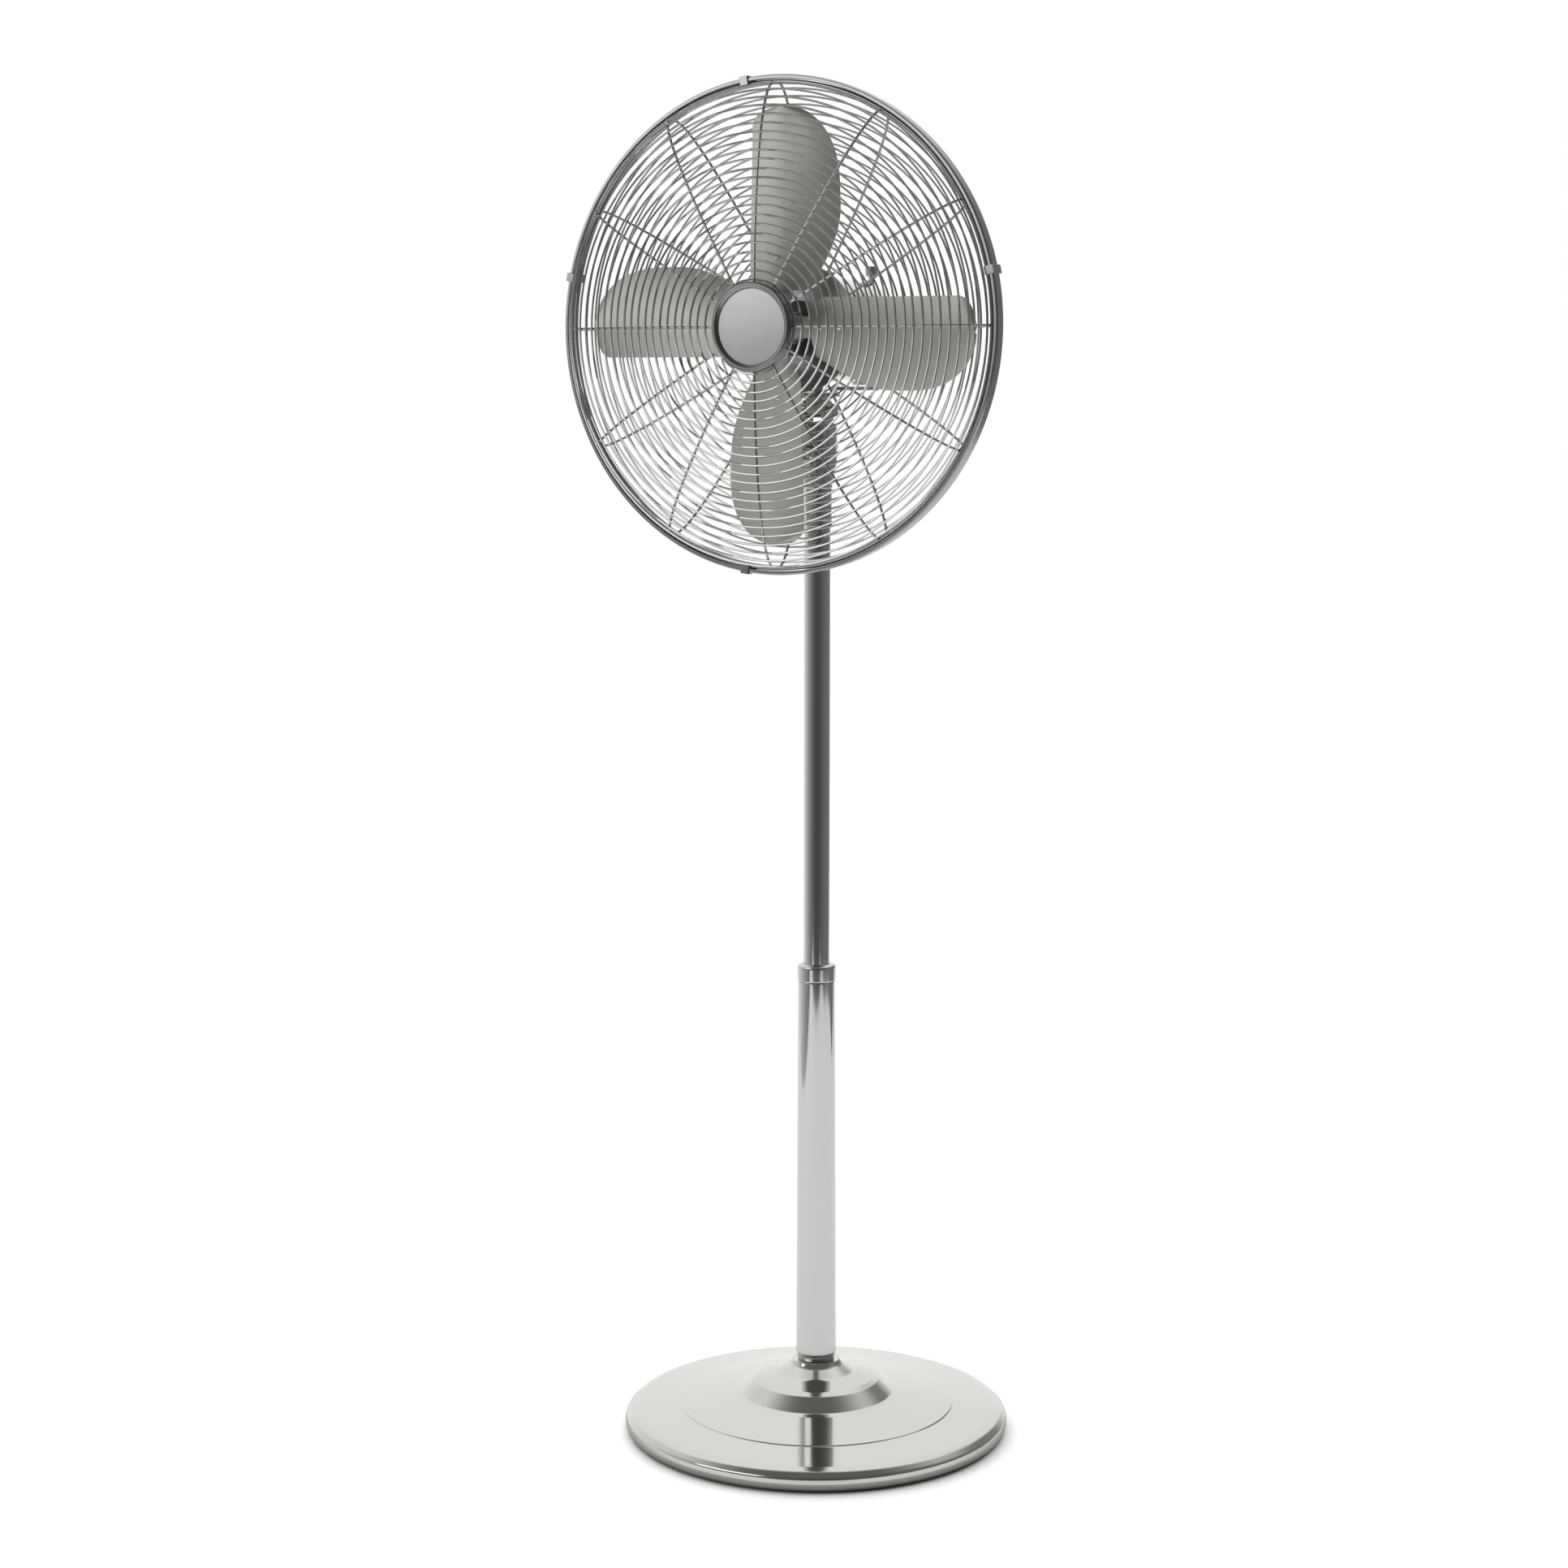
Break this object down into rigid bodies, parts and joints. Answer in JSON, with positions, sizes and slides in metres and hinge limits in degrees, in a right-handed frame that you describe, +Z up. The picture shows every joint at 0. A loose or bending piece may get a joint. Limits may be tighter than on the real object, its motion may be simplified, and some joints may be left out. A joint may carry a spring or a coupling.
{
  "type": "pedestal fan",
  "caption": "Chrome pedestal fan: round weighted base, telescopic pole, tilting and oscillating motor head, metal blades in a wire guard.",
  "frame": {"origin": "centre of the base on the floor, on the pole's axis", "axes": "+Z up along the pole, -Y the way the fan blows, +X to the right of a viewer who looks at the fan's front"},
  "size_m": [0.459, 0.38, 1.3135],
  "materials": {
    "chrome": "polished chrome plate",
    "satin_metal": "satin, fine grain",
    "wire": "bright drawn wire",
    "brushed": "circular brushed",
    "steel": "machined",
    "cast_iron": "rough cast, painted dark",
    "aluminium": "die cast",
    "copper": "enamelled copper and steel laminations",
    "brass": "turned",
    "black_plastic": "fine matt moulding",
    "grey_plastic": "matt moulding",
    "rubber": "matt rubber"
  },
  "bodies": {
    "base": {"base_cover": "chrome", "base_weight": "cast_iron", "foot_1": "rubber", "foot_2": "rubber", "foot_3": "rubber", "foot_4": "rubber", "base_bolt": "steel", "pole_foot_plug": "steel", "lower_pole": "chrome", "foot_ring": "satin_metal", "collet_sleeve": "grey_plastic"},
    "lock_collar": {"lock_collar": "chrome"},
    "mast": {"upper_pole": "chrome", "pole_guide": "grey_plastic", "neck_sleeve": "chrome", "neck_housing": "chrome", "speed_switch": "black_plastic", "cord_gland": "rubber", "tilt_bolt": "steel"},
    "speed_knob": {"speed_knob": "chrome"},
    "tilt_knob": {"tilt_knob": "black_plastic"},
    "tilt_block": {"tilt_block": "satin_metal", "swivel_pin": "steel", "link_anchor": "steel"},
    "head": {"motor_mount": "aluminium", "motor_cover": "chrome", "motor_front_cover": "chrome", "motor_stator": "copper", "front_bearing": "brass", "rear_bearing": "brass", "rear_bracket": "aluminium", "capacitor": "grey_plastic", "gearbox_case": "aluminium", "gearbox_lid": "steel", "rear_guard": "wire", "rear_guard_nut": "grey_plastic", "front_guard": "wire", "badge_ring": "steel", "badge_disc": "brushed", "rim_band": "steel", "rim_clip_1": "satin_metal", "rim_clip_2": "satin_metal", "rim_clip_3": "satin_metal", "rim_clip_4": "satin_metal"},
    "spinner": {"motor_shaft": "steel", "motor_rotor": "steel", "worm": "steel", "blade_hub": "aluminium", "blade_1": "satin_metal", "blade_2": "satin_metal", "blade_3": "satin_metal", "blade_4": "satin_metal", "blade_nut": "satin_metal"},
    "worm_wheel": {"worm_wheel": "brass"},
    "oscillation_knob": {"oscillation_knob": "chrome"},
    "crank": {"crank": "steel"},
    "link_arm": {"link_arm": "steel"}
  },
  "joints": [
    {"name": "lock_collar_turn", "type": "hinge", "parent": "base", "child": "lock_collar", "pos_m": [0, 0, 0.46], "axis": [0, 0, 1], "range_deg": [0, 180]},
    {"name": "height_slide", "type": "slide", "parent": "base", "child": "mast", "axis": [0, 0, 1], "range_m": [-0.24, 0]},
    {"name": "speed_knob_turn", "type": "hinge", "parent": "mast", "child": "speed_knob", "pos_m": [0, -0.02, 0.966], "axis": [0, -1, 0], "range_deg": [-120, 0]},
    {"name": "tilt_knob_turn", "type": "hinge", "parent": "mast", "child": "tilt_knob", "pos_m": [-0.025, 0, 1.008], "axis": [-1, 0, 0], "range_deg": [-180, 0]},
    {"name": "head_tilt", "type": "hinge", "parent": "mast", "child": "tilt_block", "pos_m": [0, 0, 1.008], "axis": [-1, 0, 0], "range_deg": [-8, 25]},
    {"name": "head_swing", "type": "hinge", "parent": "tilt_block", "child": "head", "pos_m": [0, 0, 1.03], "axis": [0, 0, 1], "range_deg": [-35, 35]},
    {"name": "blade_spin", "type": "hinge", "parent": "head", "child": "spinner", "pos_m": [0, -0.074, 1.084], "axis": [0, -1, 0], "continuous": true},
    {"name": "worm_wheel_turn", "type": "hinge", "parent": "head", "child": "worm_wheel", "pos_m": [0.0145, 0.083, 1.084], "axis": [0, 0, 1], "continuous": true},
    {"name": "oscillation_knob_pull", "type": "slide", "parent": "head", "child": "oscillation_knob", "axis": [0, 0, 1], "range_m": [-0.004, 0]},
    {"name": "crank_turn", "type": "hinge", "parent": "head", "child": "crank", "pos_m": [0.0112, 0.078, 1.033], "axis": [0, 0, 1], "range_deg": [-92, 92]},
    {"name": "link_turn", "type": "hinge", "parent": "crank", "child": "link_arm", "pos_m": [0.0215, 0.078, 1.0278], "axis": [0, 0, 1], "range_deg": [-92, 92]}
  ],
  "couplings": [
    {"joint": "worm_wheel_turn", "follows": "blade_spin", "ratio": 0.05},
    {"joint": "crank_turn", "follows": "head_swing", "ratio": -2.5714},
    {"joint": "link_turn", "follows": "head_swing", "ratio": 2.5714}
  ]
}
